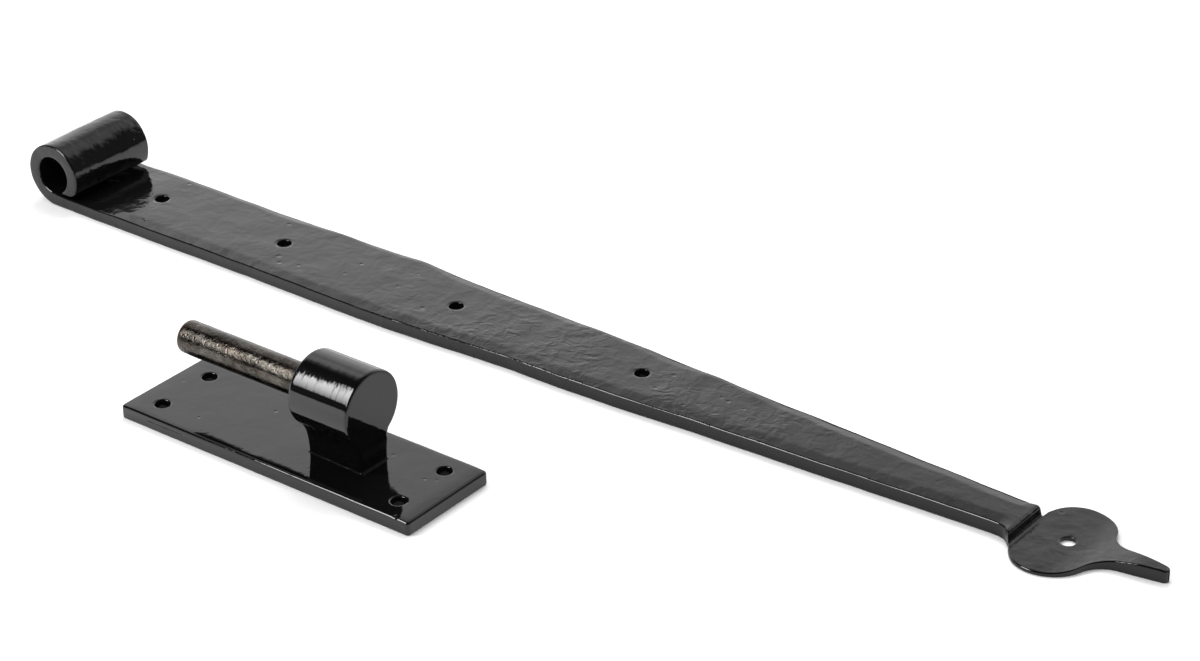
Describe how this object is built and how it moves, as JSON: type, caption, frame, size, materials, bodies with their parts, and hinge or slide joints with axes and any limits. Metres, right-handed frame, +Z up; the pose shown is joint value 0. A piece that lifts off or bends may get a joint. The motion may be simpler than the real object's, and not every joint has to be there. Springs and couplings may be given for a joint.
{
  "type": "hook and band hinge",
  "caption": "Forged gate hinge: a long tapered band rolled into an eye, with its hook pin on a screw-on back plate lying beside it.",
  "frame": {"origin": "centre of the band's eye, halfway across its width, on the axis that the hinge turns about", "axes": "+X along the strap from the eye to its tip, +Y along the eye's axis, +Z up from the strap's back to its face"},
  "size_m": [0.606, 0.1785, 0.0508],
  "materials": {
    "band_paint": "gloss black paint over hammered iron",
    "plate_paint": "gloss black paint over rolled bar",
    "boss_paint": "high gloss black paint over turned steel",
    "bare_steel": "bare pitted steel with a little rust"
  },
  "bodies": {
    "root": {"band": "band_paint", "back_plate": "plate_paint", "boss": "boss_paint", "pin": "bare_steel"}
  },
  "joints": []
}
